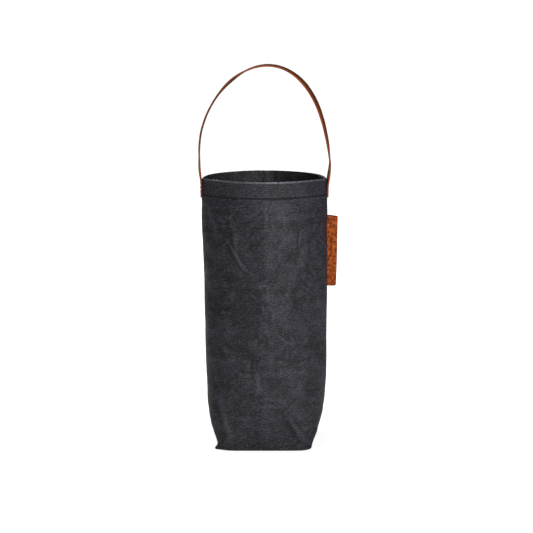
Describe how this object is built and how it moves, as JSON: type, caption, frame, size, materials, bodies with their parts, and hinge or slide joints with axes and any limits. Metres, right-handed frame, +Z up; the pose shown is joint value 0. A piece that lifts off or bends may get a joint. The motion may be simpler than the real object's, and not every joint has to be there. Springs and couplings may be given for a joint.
{
  "type": "wine gift bag",
  "caption": "Tall stitched canvas bag for a wine bottle, with a boxed base, a turned hem, a leather carrying strap sewn over the side seams and a leather tag in one seam.",
  "frame": {"origin": "middle of the base, on the floor", "axes": "+Z up, -Y towards the front panel, +X towards the side seam that holds the tag"},
  "size_m": [0.153, 0.105, 0.4195],
  "materials": {
    "canvas": "matt waxed canvas, dark charcoal, creased",
    "strap_leather": "brown bridle leather with paler cut edges",
    "tag_leather": "cognac leather, mottled, darker at the edges",
    "thread": "black sewing thread"
  },
  "bodies": {
    "bag": {"front_panel": "canvas", "back_panel": "canvas", "strap_end_left": "strap_leather", "strap_end_right": "strap_leather", "tag_root": "tag_leather", "hem_stitching": "thread", "strap_stitching_left": "thread", "strap_stitching_right": "thread", "side_seam_thread_left": "thread", "side_seam_thread_right": "thread", "base_seam_thread": "thread", "corner_seam_thread_left": "thread", "corner_seam_thread_right": "thread"},
    "handle": {"strap_loop": "strap_leather"},
    "tag": {"tag_flap": "tag_leather"}
  },
  "joints": [
    {"name": "strap_swing", "type": "hinge", "parent": "bag", "child": "handle", "pos_m": [0, 0, 0.3045], "axis": [1, 0, 0], "range_deg": [-100, 100], "stiffness_Nm_per_rad": 0.03},
    {"name": "tag_swing", "type": "hinge", "parent": "bag", "child": "tag", "pos_m": [0.07, 0, 0.2155], "axis": [0, 0, 1], "range_deg": [-80, 80], "stiffness_Nm_per_rad": 0.01}
  ]
}
